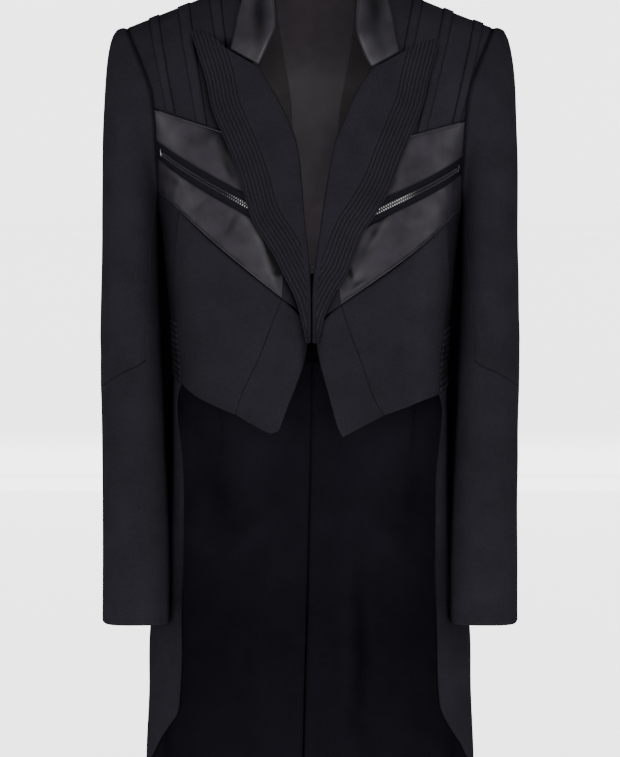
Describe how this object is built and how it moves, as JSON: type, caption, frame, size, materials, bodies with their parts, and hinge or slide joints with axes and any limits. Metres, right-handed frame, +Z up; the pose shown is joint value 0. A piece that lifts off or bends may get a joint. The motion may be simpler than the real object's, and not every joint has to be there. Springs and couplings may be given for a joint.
{
  "type": "tailcoat blazer",
  "caption": "Fitted tailcoat blazer with peak lapels, satin zip panels, raised shoulder bands, a cropped pointed front and long tails.",
  "frame": {"origin": "the middle of the neck, level with the two neck points of the shoulder seams, where the wearer's shoulders hold the jacket up", "axes": "+Z up, the front faces -Y, the wearer's left is at +X"},
  "size_m": [0.4368, 0.2622, 0.9279],
  "materials": {
    "wool": "fine matt worsted wool, near black",
    "satin": "soft satin, black",
    "lining": "smooth satin lining, black",
    "lining_dark": "smooth lining, black",
    "zip_tape": "woven tape, black",
    "zip_metal": "polished nickel teeth",
    "hook_metal": "black enamelled wire"
  },
  "bodies": {
    "root": {"right_front_yoke": "wool", "left_front_yoke": "wool", "right_satin_upper": "satin", "left_satin_upper": "satin", "right_satin_lower": "satin", "left_satin_lower": "satin", "right_zip_tape": "zip_tape", "left_zip_tape": "zip_tape", "right_zip_chain": "zip_metal", "left_zip_chain": "zip_metal", "right_zip_stop": "zip_metal", "left_zip_stop": "zip_metal", "right_piping_top": "satin", "left_piping_top": "satin", "right_piping_bottom": "satin", "left_piping_bottom": "satin", "right_front_side": "wool", "left_front_side": "wool", "right_front_point": "wool", "left_front_point": "wool", "right_side_upper": "wool", "left_side_upper": "wool", "right_side_ribbed": "wool", "left_side_ribbed": "wool", "right_back": "wool", "left_back": "wool", "right_tail": "wool", "left_tail": "wool", "right_shoulder_band_1": "wool", "right_shoulder_band_2": "wool", "right_shoulder_band_3": "wool", "left_shoulder_band_1": "wool", "left_shoulder_band_2": "wool", "left_shoulder_band_3": "wool", "right_lapel": "wool", "left_lapel": "wool", "right_sleeve_upper": "wool", "left_sleeve_upper": "wool", "right_sleeve_lower": "wool", "left_sleeve_lower": "wool", "right_sleeve_under": "wool", "left_sleeve_under": "wool", "collar": "satin", "lining_centre": "lining", "right_lining": "lining_dark", "left_lining": "lining_dark", "front_hook": "hook_metal", "front_eye": "hook_metal"}
  },
  "joints": []
}
